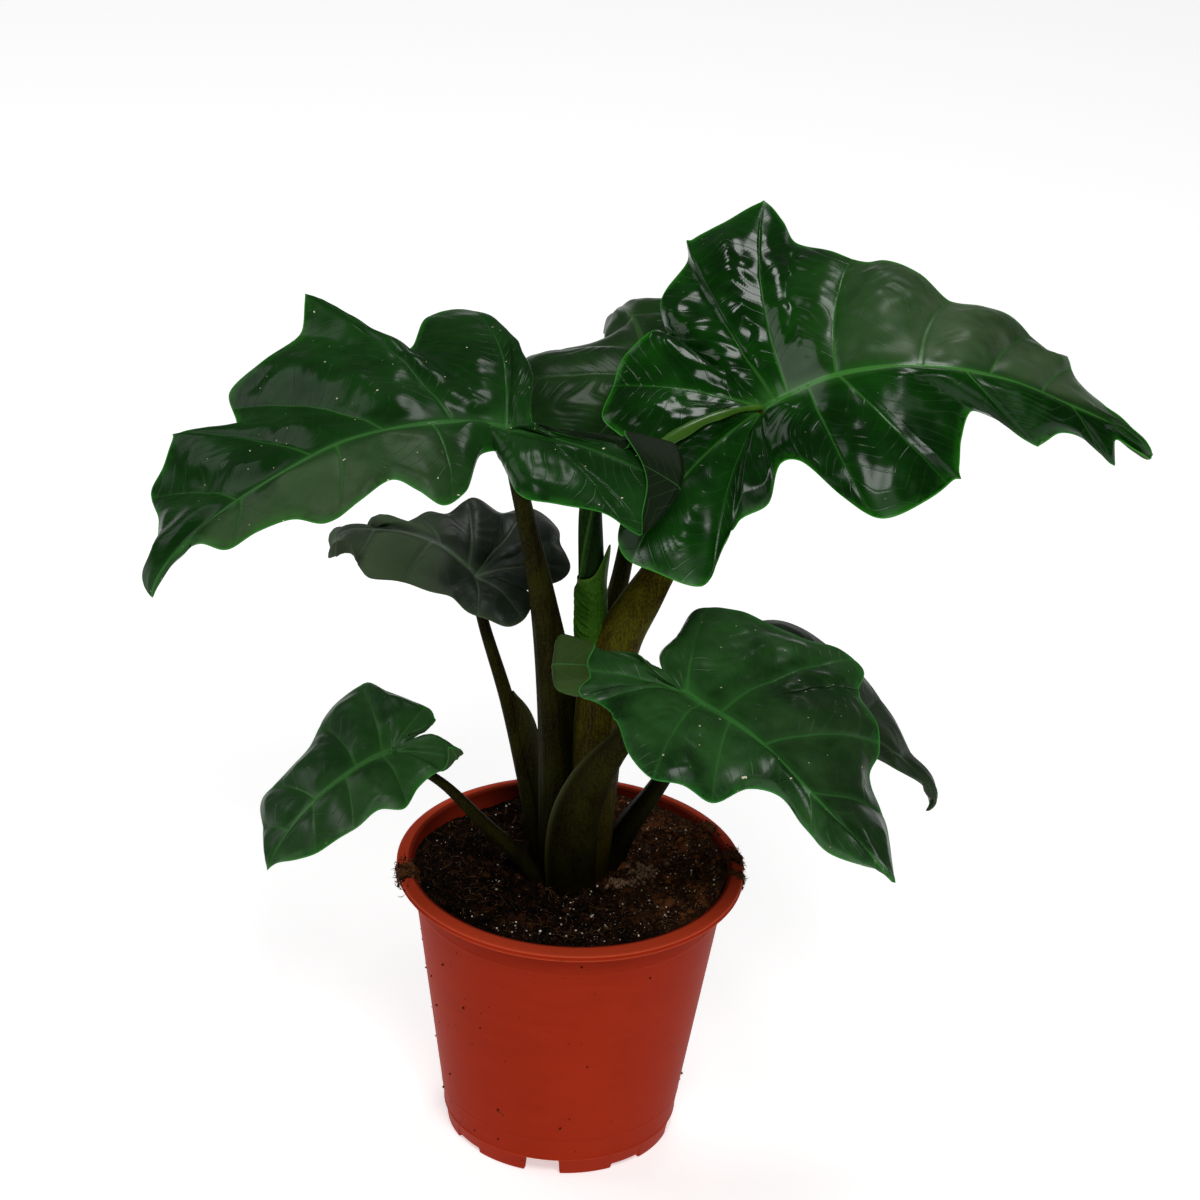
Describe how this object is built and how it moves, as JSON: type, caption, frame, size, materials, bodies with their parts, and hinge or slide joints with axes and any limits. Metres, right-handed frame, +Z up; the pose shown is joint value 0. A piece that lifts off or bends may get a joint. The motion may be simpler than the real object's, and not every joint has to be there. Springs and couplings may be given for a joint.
{
  "type": "potted plant",
  "caption": "Alocasia with large glossy waved elephant-ear leaves on thick leaf stalks that spread from one corm, growing in a tapered round nursery pot filled with dark peat soil.",
  "frame": {"origin": "Centre of the flat pad under the pot, on the surface that the pot stands on", "axes": "+Z up along the axis of the pot, -Y is the front, +X is the side of the tallest leaf"},
  "size_m": [0.6674, 0.4395, 0.6357],
  "materials": {
    "pot": "matte, terracotta red",
    "soil": "rough, dark peat",
    "rhizome": "rough, brown",
    "young_leaf": "satin, bright green",
    "petiole": "satin, dark olive green",
    "blade": "glossy, deep green with pale ribs"
  },
  "bodies": {
    "root": {"pot": "pot", "soil": "soil", "rhizome": "rhizome", "young_leaf": "young_leaf", "petiole_left": "petiole", "petiole_right": "petiole", "petiole_front": "petiole", "petiole_back": "petiole", "petiole_mid_left": "petiole", "petiole_low_left": "petiole", "petiole_low_right": "petiole", "blade_left": "blade", "blade_right": "blade", "blade_front": "blade", "blade_back": "blade", "blade_mid_left": "blade", "blade_low_left": "blade", "blade_low_right": "blade"}
  },
  "joints": []
}
